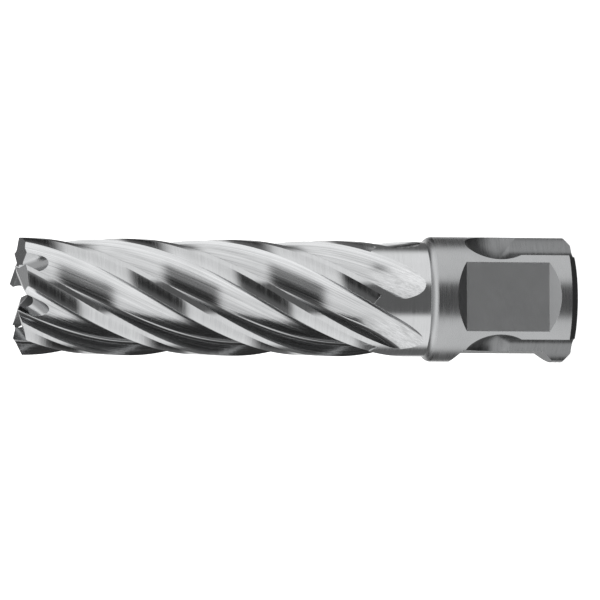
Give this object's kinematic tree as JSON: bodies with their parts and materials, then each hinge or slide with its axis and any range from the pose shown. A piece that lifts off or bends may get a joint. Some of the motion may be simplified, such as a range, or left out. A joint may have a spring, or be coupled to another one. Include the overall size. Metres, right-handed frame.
{
  "type": "annular cutter",
  "caption": "Hollow steel annular cutter with helical flutes, gulleted teeth at one end and a round shank with drive flats and conical ball seats at the other.",
  "frame": {"origin": "centre of the shank's end face, on which the cutter stands", "axes": "+Z along the cutter's axis from the shank to the teeth; -Y is the outward normal of the first drive flat and -X that of the second"},
  "size_m": [0.019, 0.019, 0.085],
  "materials": {
    "ground_steel": "ground"
  },
  "bodies": {
    "root": {"annular_cutter": "ground_steel"}
  },
  "joints": []
}
